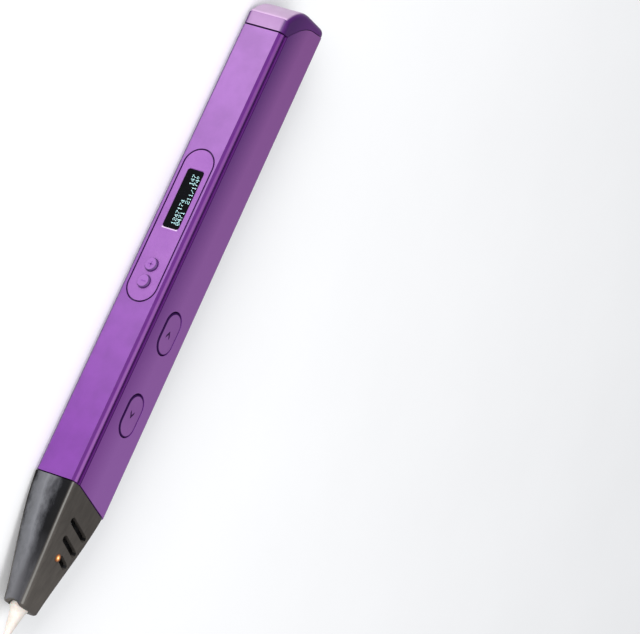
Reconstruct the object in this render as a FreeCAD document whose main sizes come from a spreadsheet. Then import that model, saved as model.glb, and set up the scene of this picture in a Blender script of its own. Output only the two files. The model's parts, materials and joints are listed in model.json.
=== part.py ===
"""A slim 3D printing pen, built as an assembly of separate pieces.

The pen lies on its plain side. +X runs from the tail to the nozzle, the display faces -Y, the two
feed buttons face +Z, and the origin is on the resting plane under the middle of the pen.
Sizes are in millimetres. Each driving size is a cell of the spreadsheet, and every helper below takes
its sizes as text in terms of those cells, so the pieces stay bound to the sheet.
"""
import FreeCAD, Part
import math
import os
import re

import Sketcher
from FreeCAD import Placement, Rotation, Vector

DIMENSIONS = {
    # overall
    "total_length": 180.0,      # tail to nozzle tip
    "body_width": 12.8,         # between the two flat sides, along Z
    "mid_z": 6.4,               # half of body_width: the filament path and the panel lie here
    "depth_seam": 20.1,         # front to back at the nozzle seam, along Y
    "depth_tail": 18.5,         # front to back at the tail
    "front_y": -9.77,           # plane of the display face
    "wall": 1.2,
    "seam_gap": 0.12,           # clearance around the keys and in the fine seams
    "seam_line": 0.45,          # width of the cap's seam across the display face
    "fit_gap": 0.06,            # clearance of a spigot or a running fit
    # seams along X
    "tail_x": -90.0,
    "cap_seam_x": -81.0,        # front edge of the tail cap
    "cap_back_x": -87.95,        # the same seam at the back of the pen
    "seam_x": 48.2,             # nozzle seam at the display face
    "seam_back_x": 51.6,        # nozzle seam at the back
    "cone_end_x": 81.9,
    "tip_x": 90.0,
    # edge of the display face: a bevel, a crest and a shadow groove
    "bevel": 1.1,
    "crest_depth": 1.45,
    "groove_depth": 1.15,
    "seat_depth": 3.1,
    "plate": 1.5,
    "tongue_depth": 4.1,
    "tongue_wall": 0.8,
    "edge_radius": 1.3,
    "cap_radius": 1.7,
    # control panel
    "panel_x": -23.2,
    "panel_length": 43.2,
    "panel_width": 8.6,
    "panel_plate": 1.0,
    "panel_groove": 0.44,
    "screen_x": -30.8,
    "screen_z": 6.55,
    "screen_length": 16.8,
    "screen_width": 5.1,
    "key_up_x": -11.7,
    "key_down_x": -6.9,
    "key_radius": 1.85,
    "key_proud": 0.6,
    "key_travel": 0.25,
    # side buttons
    "retract_x": 1.7,
    "feed_x": 25.2,
    "button_y": 1.45,
    "button_length": 11.7,
    "button_width": 7.2,
    "button_sink": 0.15,
    "button_gap": 0.28,
    "button_travel": 0.3,
    # filament path and drive
    "path_y": 1.05,
    "screw_y": -2.15,
    "screw_radius": 2.3,
    "screw_pitch": 1.25,
    "motor_y": -4.8995,         # 3.0 from the screw's axis, so that the two gears mesh
    "motor_z": 5.2,
    "motor_radius": 3.2,
    "gear_module": 0.25,
    "idler_x": 36.6,
    "idler_y": 4.125,
    "idler_radius": 2.2,
    "shaft_radius": 0.75,
    "tube_radius": 1.5,
    "tube_bore": 1.0,
    "inlet_radius": 1.3,
    # nozzle
    "slot_width": 1.85,
    "led_x": 66.5,
    "led_y": 0.25,
    "led_radius": 1.05,
    "tip_radius": 2.25,
    "collar_radius": 2.6,
}

doc = FreeCAD.newDocument("printing_pen")
sheet = doc.addObject("Spreadsheet::Sheet", "dims")
for row, (alias, size) in enumerate(DIMENSIONS.items(), start=1):
    sheet.set(f"A{row}", alias)
    sheet.set(f"B{row}", str(size))
    sheet.setAlias(f"B{row}", alias)
doc.recompute()


# ---------------------------------------------------------------- helpers

def cells(text):
    """The expression text, with each name of a cell pointing at the spreadsheet."""
    return re.sub(r"[a-z]+(?:_[a-z]+)*", lambda m: f"dims.{m[0]}" if m[0] in DIMENSIONS else m[0], str(text))


def value(text):
    """What an expression comes to, as a plain number."""
    return float(sheet.evalExpression(cells(text)))


def bind(thing, path, text):
    thing.setExpression(path, cells(text))


def place(thing, x, y, z):
    for axis, text in zip("xyz", (x, y, z)):
        bind(thing, f"Placement.Base.{axis}", text)
    return thing


def box(name, low, size):
    made = doc.addObject("Part::Box", name)
    for side, text in zip(("Length", "Width", "Height"), size):
        bind(made, side, text)
    return place(made, *low)


TURN = {"x": Rotation(Vector(0, 1, 0), 90), "y": Rotation(Vector(1, 0, 0), -90), "z": Rotation()}


def rod(name, axis, start, length, radius, end_radius=None):
    """A cylinder from the point start along +axis, or a cone where it has an end_radius."""
    made = doc.addObject("Part::Cylinder" if end_radius is None else "Part::Cone", name)
    made.Placement = Placement(Vector(), TURN[axis])
    bind(made, "Height", length)
    if end_radius is None:
        bind(made, "Radius", radius)
    else:
        bind(made, "Radius1", radius)
        bind(made, "Radius2", end_radius)
    return place(made, *start)


def fuse(name, *pieces):
    made = doc.addObject("Part::MultiFuse", name)
    made.Shapes = list(pieces)
    return made


def cut(name, base, *tools):
    made = doc.addObject("Part::Cut", name)
    made.Base = base
    made.Tool = tools[0] if len(tools) == 1 else fuse(name + "_tools", *tools)
    return made


def shaped(name, shape):
    """A piece that needs Part's own functions, such as a gear or a thread."""
    made = doc.addObject("Part::Feature", name)
    made.Shape = shape
    return made


def rounded(name, base, radius, wanted):
    """base with a fillet on each edge that wanted(edge) picks."""
    doc.recompute()
    made = doc.addObject("Part::Fillet", name)
    made.Base = base
    size = value(radius)
    made.Edges = [(i, size, size) for i, edge in enumerate(base.Shape.Edges, start=1) if wanted(edge)]
    return made


def sketch(body, name, plane, offset="0"):
    """A sketch on one of the body's own origin planes, moved along its normal by offset."""
    made = body.newObject("Sketcher::SketchObject", name)
    support = next(f for f in body.Origin.OriginFeatures if f.Role == plane)
    made.AttachmentSupport = [(support, "")]
    made.MapMode = "FlatFace"
    bind(made, "AttachmentOffset.Base.z", offset)
    return made


def pin_point(made, geometry, vertex, x, y):
    """Holds one vertex of a sketch at the point that two expressions give."""
    for kind, text in (("DistanceX", x), ("DistanceY", y)):
        index = made.addConstraint(Sketcher.Constraint(kind, -1, 1, geometry, vertex, value(text)))
        bind(made, f"Constraints[{index}]", text)


def outline(made, corners):
    """A closed outline. A corner is (x, y), or (x, y, through_x, through_y) where an arc leads on from it."""
    points = [Vector(value(c[0]), value(c[1]), 0) for c in corners]
    ends = []
    for here, after, corner in zip(points, points[1:] + points[:1], corners):
        if len(corner) == 2:
            index = made.addGeometry(Part.LineSegment(here, after), False)
            ends.append((index, 1, 2))
            continue
        middle = Vector(value(corner[2]), value(corner[3]), 0)
        index = made.addGeometry(Part.Arc(here, middle, after), False)
        starts_here = made.getPoint(index, 1).distanceToPoint(here) < 1e-6
        ends.append((index, 1, 2) if starts_here else (index, 2, 1))
    for (index, _, last), (following, first, _) in zip(ends, ends[1:] + ends[:1]):
        made.addConstraint(Sketcher.Constraint("Coincident", index, last, following, first))
    for (index, first, _), corner in zip(ends, corners):
        pin_point(made, index, first, corner[0], corner[1])
        if len(corner) == 4:
            on_arc = made.addGeometry(Part.Point(Vector(value(corner[2]), value(corner[3]), 0)), True)
            made.addConstraint(Sketcher.Constraint("PointOnObject", on_arc, 1, index))
            pin_point(made, on_arc, 1, corner[2], corner[3])
    return made


def slot_outline(made, x, y, length, width):
    """A stadium, long along the sketch's x, centred at (x, y)."""
    reach = f"(({length}) - ({width})) / 2"
    low, high = f"({y}) - ({width}) / 2", f"({y}) + ({width}) / 2"
    left, right = f"({x}) - {reach}", f"({x}) + {reach}"
    return outline(made, [
        (left, low),
        (right, low, f"({x}) + ({length}) / 2", y),
        (right, high),
        (left, high, f"({x}) - ({length}) / 2", y),
    ])


def rectangle(made, x_low, y_low, x_high, y_high):
    return outline(made, [(x_low, y_low), (x_high, y_low), (x_high, y_high), (x_low, y_high)])


def circle_at(made, y, z, radius):
    """A circle in a sketch, held by its centre and radius."""
    index = made.addGeometry(Part.Circle(Vector(value(y), value(z), 0), Vector(0, 0, 1), value(radius)), False)
    pin_point(made, index, 3, y, z)
    held = made.addConstraint(Sketcher.Constraint("Radius", index, value(radius)))
    bind(made, f"Constraints[{held}]", radius)
    return made


def new_body(name):
    made = doc.addObject("PartDesign::Body", name)
    made.Label = name
    return made


def pad(body, profile, length):
    made = body.newObject("PartDesign::Pad", profile.Name + "_pad")
    made.Profile = profile
    bind(made, "Length", length)
    doc.recompute()
    return made


def pocket(body, profile, length, upward=False):
    """Cuts against the sketch's normal, or along it where upward is set, and makes sure that it cut."""
    before = body.Shape.Volume
    made = body.newObject("PartDesign::Pocket", profile.Name + "_pocket")
    made.Profile = profile
    made.Reversed = upward
    bind(made, "Length", length)
    doc.recompute()
    assert body.Shape.Volume < before - 1e-4, f"{made.Name} cut nothing"
    return made


def soften(body, radius, wanted, kind="Fillet"):
    """A fillet or chamfer on each edge of the body that wanted(edge) picks."""
    tip = body.Tip
    names = [f"Edge{i}" for i, edge in enumerate(tip.Shape.Edges, start=1) if wanted(edge)]
    assert names, f"{body.Name}: no edge to soften"
    made = body.newObject(f"PartDesign::{kind}", f"{body.Name}_{kind.lower()}_{len(body.Group)}")
    made.Base = (tip, names)
    bind(made, "Radius" if kind == "Fillet" else "Size", radius)
    tip.Visibility = False
    doc.recompute()
    return made


def middle_of(edge):
    return edge.valueAt((edge.FirstParameter + edge.LastParameter) / 2)


def direction_of(edge):
    return edge.tangentAt((edge.FirstParameter + edge.LastParameter) / 2)


def is_round(edge):
    return isinstance(edge.Curve, Part.Circle)


def back(x, inset="0"):
    """Y of the pen's back face at x: the pen grows a little shallower towards its tail."""
    return (f"front_y + depth_tail + (depth_seam - depth_tail) * (({x}) - tail_x)"
            f" / (seam_x - tail_x) - ({inset})")


def depth(v):
    """Y at a depth v behind the display face."""
    return f"front_y + ({v})"


def tail_seam(shift):
    """The S-shaped seam between body and tail cap, from the back of the pen to its front."""
    return [
        (f"cap_back_x + 0.7 + ({shift})", depth("12.3"), f"cap_back_x + 1.9 + ({shift})", depth("9.1")),
        (f"cap_seam_x - 2.7 + ({shift})", depth("5.9"), f"cap_seam_x - 1.0 + ({shift})", depth("4.0")),
        (f"cap_seam_x + ({shift})", depth("seat_depth")),
    ]


# ---------------------------------------------------------------- housing

# Main shell: the two flat sides and the back
shell = new_body("rear_shell")
side = outline(sketch(shell, "shell_side", "XY_Plane"), [
    ("seam_x - seam_gap / 2", depth("seat_depth")),
    ("seam_back_x - seam_gap / 2", back("seam_back_x - seam_gap / 2")),
    ("cap_back_x + seam_gap", back("cap_back_x")),
    *tail_seam("seam_gap"),
])
pad(shell, side, "body_width")
cavity = outline(sketch(shell, "shell_cavity", "XY_Plane", "wall"), [
    ("seam_back_x + 9", depth("-1")),
    ("seam_back_x + 9", back("seam_back_x + 9", "wall")),
    ("tail_x - 5", back("tail_x - 5", "wall")),
    ("tail_x - 5", depth("-1")),
])
pocket(shell, cavity, "body_width - 2 * wall", upward=True)
for button, centre in (("feed", "feed_x"), ("retract", "retract_x")):
    hole = slot_outline(sketch(shell, f"{button}_hole", "XY_Plane", "body_width + 1"), centre,
                        "button_y - button_gap / 2", "button_length + 2 * button_gap", "button_width + 2 * button_gap")
    pocket(shell, hole, "wall + 1.5")
soften(shell, "edge_radius", lambda e: abs(direction_of(e).x) > 0.99 and middle_of(e).y > 6
       and (middle_of(e).z < 0.01 or middle_of(e).z > value("body_width") - 0.01))
soften(shell, "0.2", lambda e: abs(direction_of(e).x) > 0.99 and abs(middle_of(e).y - value(depth("seat_depth"))) < 0.01
       and (middle_of(e).z < 0.01 or middle_of(e).z > value("body_width") - 0.01), kind="Chamfer")

# Front cover: the display face, its bevels, the shadow groove below its crest, and a tongue inside the shell
cover = new_body("front_cover")
COVER_ENDS = ("cap_seam_x - seam_gap / 2 + seam_line", "seam_x - seam_gap / 2")
steps = (
    ("plate", "0", "front_y", depth("crest_depth"), COVER_ENDS),
    ("neck", "groove_depth", depth("crest_depth"), depth("seat_depth"), COVER_ENDS),
    ("tongue", "wall + fit_gap", depth("seat_depth"), depth("tongue_depth"), ("cap_seam_x + 4.5", "seam_x - 4.5")),
)
for name, inset, low, high, (start, end) in steps:
    strip = rectangle(sketch(cover, f"cover_{name}", "XY_Plane", inset), start, low, end, high)
    pad(cover, strip, f"body_width - 2 * ({inset})")
inside = rectangle(sketch(cover, "cover_inside", "XY_Plane", "wall + fit_gap + tongue_wall"),
                   "tail_x - 1", depth("plate"), "seam_x + 5", depth("tongue_depth + 1"))
pocket(cover, inside, "body_width - 2 * (wall + fit_gap + tongue_wall)", upward=True)
recess = slot_outline(sketch(cover, "panel_recess", "XZ_Plane", "-front_y + 1"), "panel_x", "mid_z",
                      "panel_length + 2 * panel_groove", "panel_width + 2 * panel_groove")
pocket(cover, recess, "panel_plate + 1")
through = slot_outline(sketch(cover, "panel_opening", "XZ_Plane", "-front_y + 1"), "panel_x", "mid_z",
                       "panel_length - 1.6", "panel_width - 1.6")
pocket(cover, through, "plate + 1.5")
soften(cover, "bevel", lambda e: abs(direction_of(e).x) > 0.99 and abs(middle_of(e).y - value("front_y")) < 0.01
       and (middle_of(e).z < 0.01 or middle_of(e).z > value("body_width") - 0.01), kind="Chamfer")

# Tail cap: closes the tail, with the filament inlet and the opening for the power socket
INNER = "wall + fit_gap + tongue_wall"      # where the inner face of every tongue lies
cap = new_body("tail_cap")
cap_side = outline(sketch(cap, "cap_side", "XY_Plane"), [
    ("cap_seam_x - seam_gap / 2", "front_y"),
    ("cap_seam_x - seam_gap / 2", depth("seat_depth"), "cap_seam_x - 1.0 - seam_gap / 2", depth("4.0")),
    ("cap_seam_x - 2.7 - seam_gap / 2", depth("5.9"), "cap_back_x + 1.9 - seam_gap / 2", depth("9.1")),
    ("cap_back_x + 0.7 - seam_gap / 2", depth("12.3")),
    ("cap_back_x - seam_gap / 2", back("cap_back_x - seam_gap / 2")),
    ("tail_x + 1.9", back("tail_x + 1.9"), "tail_x + 0.5565", back("tail_x + 1.9", "0.5565")),
    ("tail_x", back("tail_x + 1.9", "1.9")),
    ("tail_x", depth("9.4"), "tail_x + 1.461", depth("4.189")),
    ("tail_x + 5.4", "front_y"),
])
pad(cap, cap_side, "body_width")


def on_cap_rim(edge):
    """The long outer edges of the cap's two flat sides, without those at the seam."""
    middle = middle_of(edge)
    flat = middle.z < 0.01 or middle.z > value("body_width") - 0.01
    at_seam = middle.x > value("cap_seam_x") - 0.5 or (
        value("cap_back_x") - 0.1 < middle.x < value("cap_seam_x") and value(depth("1")) < middle.y
        and middle.y < value(back("cap_back_x")) - 0.5 and middle.x > value("tail_x") + 1.95)
    return flat and abs(direction_of(edge).z) < 0.01 and not at_seam


soften(cap, "cap_radius", on_cap_rim)
cap_tongue = rectangle(sketch(cap, "cap_tongue", "XY_Plane", "wall + fit_gap"),
                       "cap_back_x", depth("6.6"), "cap_seam_x + 4", depth("15.0"))
pad(cap, cap_tongue, "body_width - 2 * (wall + fit_gap)")
cap_inside = outline(sketch(cap, "cap_inside", "XY_Plane", INNER), [
    ("cap_seam_x + 9", depth("plate + 0.1")),
    ("cap_seam_x + 9", back("tail_x", "wall + 0.2")),
    ("tail_x + 2.5", back("tail_x", "wall + 0.2")),
    ("tail_x + 1.3", depth("15")),
    ("tail_x + 1.3", depth("8.6")),
    ("tail_x + 3.0", depth("4.0")),
    ("tail_x + 5.6", depth("plate + 0.1")),
])
pocket(cap, cap_inside, f"body_width - 2 * ({INNER})", upward=True)
inlet_boss = circle_at(sketch(cap, "inlet_boss", "YZ_Plane", "tail_x + 1.1"), "path_y", "mid_z", "tube_radius + 1")
pad(cap, inlet_boss, "4.4")
tube_socket = circle_at(sketch(cap, "tube_socket", "YZ_Plane", "tail_x + 6"), "path_y", "mid_z",
                        "tube_radius + fit_gap / 2")
pocket(cap, tube_socket, "3.5")
inlet = circle_at(sketch(cap, "filament_inlet", "YZ_Plane", "tail_x + 6"), "path_y", "mid_z",
                  "inlet_radius")
pocket(cap, inlet, "7")
power_opening = rectangle(sketch(cap, "power_opening", "YZ_Plane", "tail_x + 6"),
                          depth("12.85"), "mid_z - 3.9", depth("15.85"), "mid_z + 3.9")
pocket(cap, power_opening, "8")

# Nozzle cone: a hollow taper in four smooth sides, slotted on both flat sides
cone = new_body("nozzle_cone")
CONE_START = "seam_x - seam_gap / 2 + 0.7 * seam_line"


def cone_section(name, x, taper, inset):
    """A rounded rectangle across the cone at x; taper runs from 0 at the seam to 1 at the open end."""
    low, high = depth(f"6.6 * {taper} + ({inset})"), depth(f"depth_seam - 4.45 * {taper} - ({inset})")
    side, radius = f"3.05 * {taper} + ({inset})", f"edge_radius + 0.6 * {taper} - 0.6 * ({inset})"
    bulge = f"(({radius}) * 0.292893)"
    top = f"body_width - ({side})"
    return outline(sketch(cone, name, "YZ_Plane", x), [
        (f"({low}) + {radius}", side),
        (f"({high}) - ({radius})", side, f"({high}) - {bulge}", f"({side}) + {bulge}"),
        (high, f"({side}) + {radius}"),
        (high, f"({top}) - ({radius})", f"({high}) - {bulge}", f"({top}) - {bulge}"),
        (f"({high}) - ({radius})", top),
        (f"({low}) + {radius}", top, f"({low}) + {bulge}", f"({top}) - {bulge}"),
        (low, f"({top}) - ({radius})"),
        (low, f"({side}) + {radius}", f"({low}) + {bulge}", f"({side}) + {bulge}"),
    ])


def cone_loft(name, kind, sections):
    made = cone.newObject(f"PartDesign::{kind}", name)
    made.Profile = sections[0]
    made.Sections = sections[1:]
    doc.recompute()
    return made


# How far the taper has come at each x: it starts gently at the seam and then runs straight
TAPER = (("seam_x + 5.8", "0.10"), ("seam_x + 12", "0.27"), ("seam_x + 22", "0.62"))
cone_loft("cone_outside", "AdditiveLoft", [
    cone_section("outside_start", CONE_START, "0", "0"),
    *[cone_section(f"outside_{i}", x, taper, "0") for i, (x, taper) in enumerate(TAPER, start=1)],
    cone_section("outside_end", "cone_end_x", "1", "0"),
])
cone_loft("cone_inside", "SubtractiveLoft", [
    cone_section("inside_start", "seam_x - 1", "0", "wall"),
    *[cone_section(f"inside_{i}", x, taper, "wall") for i, (x, taper) in enumerate(TAPER, start=1)],
    cone_section("inside_end", "cone_end_x - wall", "0.96", "wall"),
])
seam_cut = outline(sketch(cone, "cone_seam", "XY_Plane", "-1"), [
    ("seam_x - 2", depth("seat_depth")),
    (CONE_START, depth("seat_depth")),
    (f"{CONE_START} + seam_back_x - seam_x", back("seam_back_x")),
    (f"{CONE_START} + seam_back_x - seam_x", back("seam_back_x", "-2")),
    ("seam_x - 2", back("seam_back_x", "-2")),
])
pocket(cone, seam_cut, "body_width + 2", upward=True)
for name, floor in (("low", "wall + fit_gap"), ("high", "body_width - wall - fit_gap - tongue_wall")):
    tongue = rectangle(sketch(cone, f"cone_tongue_{name}", "XY_Plane", floor),
                       "seam_x - 2.4", depth("5.6"), "seam_x + 6.4", depth("15.4"))
    pad(cone, tongue, "tongue_wall")
soften(cone, "0.9", lambda e: abs(middle_of(e).x - value("cone_end_x")) < 0.01 and abs(direction_of(e).x) < 0.01)
nozzle_hole = circle_at(sketch(cone, "nozzle_hole", "YZ_Plane", "cone_end_x + 1"), "path_y", "mid_z",
                        "collar_radius + 0.12")
pocket(cone, nozzle_hole, "4")
# An arch in the display side of the open end, over the base of the tip
tip_arch = circle_at(sketch(cone, "tip_arch", "XZ_Plane", "-front_y"), "cone_end_x + 1.4", "mid_z", "2.6")
pocket(cone, tip_arch, "9.4")
SLOTS = ((8.4, 7.8, 10.5, 16.0), (13.3, 8.6, 15.1, 15.4), (18.1, 11.5, 19.1, 14.6))
for number, (x0, v0, x1, v1) in enumerate(SLOTS, start=1):
    long = math.hypot(x1 - x0, v1 - v0)
    ux, uy = (x1 - x0) / long, (v1 - v0) / long
    half = "slot_width / 2"
    slot = outline(sketch(cone, f"vent_{number}", "XY_Plane", "-1"), [
        (f"seam_x + {x0} - {uy} * {half}", depth(f"{v0} + {ux} * {half}"),
         f"seam_x + {x0} - {ux} * {half}", depth(f"{v0} - {uy} * {half}")),
        (f"seam_x + {x0} + {uy} * {half}", depth(f"{v0} - {ux} * {half}")),
        (f"seam_x + {x1} + {uy} * {half}", depth(f"{v1} - {ux} * {half}"),
         f"seam_x + {x1} + {ux} * {half}", depth(f"{v1} + {uy} * {half}")),
        (f"seam_x + {x1} - {uy} * {half}", depth(f"{v1} + {ux} * {half}")),
    ])
    pocket(cone, slot, "body_width + 2", upward=True)
led_hole = circle_at(sketch(cone, "led_hole", "XY_Plane", "body_width + 1"), "led_x", "led_y", "led_radius + 0.05")
pocket(cone, led_hole, "5")

# ---------------------------------------------------------------- control panel and keys

panel = new_body("control_panel")
panel_plate = slot_outline(sketch(panel, "panel_outline", "XZ_Plane", "-front_y - panel_plate"),
                           "panel_x", "mid_z", "panel_length", "panel_width")
pad(panel, panel_plate, "panel_plate")
window = rectangle(sketch(panel, "panel_window", "XZ_Plane", "-front_y + 1"),
                   "screen_x - screen_length / 2", "screen_z - screen_width / 2",
                   "screen_x + screen_length / 2", "screen_z + screen_width / 2")
pocket(panel, window, "3")
for name, x in (("up", "key_up_x"), ("down", "key_down_x")):
    hole = circle_at(sketch(panel, f"key_{name}_hole", "XZ_Plane", "-front_y + 1"), x, "mid_z",
                     "key_radius + seam_gap / 2")
    pocket(panel, hole, "3")
soften(panel, "0.8", lambda e: abs(direction_of(e).y) > 0.99 and not is_round(e)
       and abs(abs(middle_of(e).x - value("screen_x")) - value("screen_length / 2")) < 0.01)


def around_window(edge):
    """The front edges of the panel's window."""
    middle = middle_of(edge)
    return (abs(middle.y - value("front_y")) < 0.01
            and abs(middle.x - value("screen_x")) < value("screen_length / 2 + 0.1")
            and abs(middle.z - value("screen_z")) < value("screen_width / 2 + 0.1"))


soften(panel, "0.2", around_window, kind="Chamfer")

glass = new_body("screen_glass")
glass_plate = rectangle(sketch(glass, "glass_outline", "XZ_Plane", "-front_y - panel_plate"),
                        "screen_x - screen_length / 2 + 0.05", "screen_z - screen_width / 2 + 0.05",
                        "screen_x + screen_length / 2 - 0.05", "screen_z + screen_width / 2 - 0.05")
pad(glass, glass_plate, "panel_plate - 0.08")
soften(glass, "0.75", lambda e: abs(direction_of(e).y) > 0.99)

for name, x in (("up", "key_up_x"), ("down", "key_down_x")):
    key = new_body(f"key_{name}")
    cap_disc = circle_at(sketch(key, f"{name}_disc", "XZ_Plane", "-front_y - panel_plate - 0.06"), x, "mid_z",
                         "key_radius")
    pad(key, cap_disc, "panel_plate + 0.06 + key_proud")
    flange = circle_at(sketch(key, f"{name}_flange", "XZ_Plane", "-front_y - 1.5"), x, "mid_z", "key_radius + 0.4")
    pad(key, flange, "0.44")
    stem = circle_at(sketch(key, f"{name}_stem", "XZ_Plane", "-front_y - tongue_depth + 0.9"), x, "mid_z", "0.9")
    pad(key, stem, "tongue_depth - 2.3999")
    soften(key, "0.2", lambda e: is_round(e) and middle_of(e).y < value("front_y") - 0.1)

# Side buttons: a stadium cap with a flange behind the wall and a stem over its switch
for name, x in (("feed", "feed_x"), ("retract", "retract_x")):
    button = new_body(f"{name}_button")
    cap_top = slot_outline(sketch(button, f"{name}_cap", "XY_Plane", "body_width - wall - 0.06"),
                           x, "button_y", "button_length", "button_width")
    pad(button, cap_top, "wall + 0.06 - button_sink")
    flange = slot_outline(sketch(button, f"{name}_flange", "XY_Plane", "body_width - wall - 0.66"),
                          x, "button_y", "button_length + 1", "button_width + 1")
    pad(button, flange, "0.6001")
    stem = circle_at(sketch(button, f"{name}_stem", "XY_Plane", "10.35"), x, "button_y", "1.1")
    pad(button, stem, "body_width - wall - 0.66 - 10.35 + 0.0001")
    soften(button, "0.2", lambda e: abs(middle_of(e).z - value("body_width - button_sink")) < 0.01)

# ---------------------------------------------------------------- electronics

# Display: a small module behind the glass, a foam pad behind it, and its flat cable to the main board
box("display_module", ("screen_x - 11", depth("panel_plate"), "mid_z - 3.05"), ("20.4", "1.3", "6.1"))
box("display_pad", ("screen_x - 10", depth("panel_plate + 1.3"), "mid_z - 2.8"),
    ("13", "tongue_depth - panel_plate - 1.3", "5.6"))
cable = new_body("display_cable")
cable_side = outline(sketch(cable, "cable_side", "XY_Plane", "mid_z - 2.2"), [
    ("screen_x + 4", depth("panel_plate + 1.3")),
    ("screen_x + 9.4", depth("panel_plate + 1.3")),
    ("screen_x + 11.4", depth("tongue_depth - 0.14")),
    ("screen_x + 14.6", depth("tongue_depth - 0.14")),
    ("screen_x + 14.6", depth("tongue_depth")),
    ("screen_x + 11.3", depth("tongue_depth")),
    ("screen_x + 9.3", depth("panel_plate + 1.44")),
    ("screen_x + 4", depth("panel_plate + 1.44")),
])
pad(cable, cable_side, "4.4")

# Main board: it rests on the cover's tongue, and narrows between the cap's tongues
board = new_body("main_board")
board_outline = outline(sketch(board, "board_outline", "XZ_Plane", "-front_y - tongue_depth - 0.8"), [
    ("tail_x + 6.6", "mid_z - 3.9"),
    ("tail_x + 14", "mid_z - 3.9"),
    ("tail_x + 15", "1.5"),
    ("-1.8", "1.5"),
    ("-1.8", "body_width - 1.5"),
    ("tail_x + 15", "body_width - 1.5"),
    ("tail_x + 14", "mid_z + 3.9"),
    ("tail_x + 6.6", "mid_z + 3.9"),
])
pad(board, board_outline, "0.8")
BOARD_BACK = depth("tongue_depth + 0.8")
BOARD_SCREWS = ("-52", "-66.2")
for number, x in enumerate(BOARD_SCREWS, start=1):
    hole = circle_at(sketch(board, f"board_hole_{number}", "XZ_Plane", "-front_y"), x, "mid_z", "0.75")
    pocket(board, hole, "9")

box("controller_chip", ("-62.5", BOARD_BACK, "mid_z - 3.5"), ("7", "1.0", "7"))
box("driver_chip", ("-38", BOARD_BACK, "mid_z - 2"), ("5", "0.9", "4"))
box("inductor", ("-74", BOARD_BACK, "mid_z - 2.5"), ("5", "2.0", "5"))
fuse("capacitors", *[rod(f"capacitor_{i}", "y", (x, BOARD_BACK, z), "2.6", "1.5")
                     for i, (x, z) in enumerate((("-47", "mid_z - 2.4"), ("-47", "mid_z + 2.4")), start=1)])
box("motor_socket", ("-9", BOARD_BACK, "mid_z - 3"), ("4", "2.2", "6"))
fuse("key_switches", *[box(f"key_switch_{name}", (f"{x} - 1.6", depth("tongue_depth - 0.6"), "mid_z - 1.6"),
                           ("3.2", "0.6", "3.2")) for name, x in (("up", "key_up_x"), ("down", "key_down_x"))])
box("power_board", ("tail_x + 2.8", depth("15.7"), "mid_z - 4.1"), ("13", "0.7", "8.2"))
cut("power_socket",
    box("power_shell", ("tail_x + 0.9", depth("13"), "mid_z - 3.75"), ("5.6", "2.7", "7.5")),
    box("power_mouth", ("tail_x", depth("13.35"), "mid_z - 3.4"), ("5.2", "2.0", "6.8")))
box("power_tongue", ("tail_x + 1.6", depth("14.05"), "mid_z - 2.6"), ("3.6", "0.6", "5.2"))

# Side board with its two switches, behind the side buttons
box("button_board", ("-4", "button_y - 3.6", "8.1"), ("31", "7.0", "0.8"))
fuse("button_switches", *[box(f"button_switch_{name}", (f"{x} - 1.75", "button_y - 1.75", "8.9"),
                              ("3.5", "3.5", "1.05")) for name, x in (("feed", "feed_x"), ("retract", "retract_x"))])

# ---------------------------------------------------------------- drive

# Gearmotor: its gearbox ends at the rear bulkhead of the frame
rod("motor", "x", ("0.2", "motor_y", "motor_z"), "12.8", "motor_radius")
rod("gearbox", "x", ("13", "motor_y", "motor_z"), "9", "motor_radius")

FRAME_START, FRAME_MID, FRAME_END = "22", "27.3", "43.2"
PLATE_TOP = "2.4"
blocks = [
    box("frame_floor", (FRAME_START, "path_y - 6.6", "wall"), ("22.8", "12.7", f"{PLATE_TOP} - wall")),
    box("frame_tail", ("-4", "path_y - 3.3", "wall"), ("26.5", "7", f"{PLATE_TOP} - wall")),
    box("frame_rear", (FRAME_START, "path_y - 7.2", "2.2"), ("1.4", "13", "5.9")),
    box("frame_middle", (FRAME_MID, "path_y - 7.2", "2.2"), ("1.4", "13", "7.5")),
    box("frame_front", (FRAME_END, "path_y - 7.2", "2.2"), ("1.6", "13", "7.5")),
    box("frame_bridge", (FRAME_MID, "path_y + 1.9", "8.5"), ("17.5", "2.6", "1.2")),
    box("frame_post_low", ("-4", "path_y - 3.3", "2.2"), ("1.5", "1.7", "5.9")),
    box("frame_post_high", ("-4", "path_y + 1.6", "2.2"), ("1.5", "2", "5.9")),
]
holes = [
    rod("frame_path", "x", ("10", "path_y", "mid_z"), "40", "tube_radius + 0.02"),
    rod("frame_screw_bore", "x", ("21", "screw_y", "mid_z"), "26", "shaft_radius + 0.05"),
    rod("frame_motor_bore", "x", ("21", "motor_y", "motor_z"), "10", "shaft_radius + 0.05"),
    rod("frame_idler_bore", "z", ("idler_x", "idler_y", "wall"), "10", "shaft_radius"),
]
cut("drive_frame", fuse("frame_blocks", *blocks), *holes)


def gear_outline(teeth, module, thin):
    """Corner points of an involute gear, each flank thinned by thin so that the pair runs freely."""
    pitch, base = module * teeth / 2, module * teeth / 2 * math.cos(math.radians(20))
    tip, root = pitch + 0.85 * module, pitch - 1.2 * module
    roll = math.tan(math.radians(20)) - math.radians(20)
    half = math.pi / (2 * teeth) - thin / pitch + roll
    flank = [(root, half)]
    for step in range(6):
        radius = max(base, root) + (tip - max(base, root)) * step / 5
        angle = math.acos(min(1, base / radius))
        flank.append((radius, half - (math.tan(angle) - angle)))
    points = []
    for tooth in range(teeth):
        middle = 2 * math.pi * tooth / teeth
        points += [(r, middle - a) for r, a in flank] + [(r, middle + a) for r, a in reversed(flank)]
    return points


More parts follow.
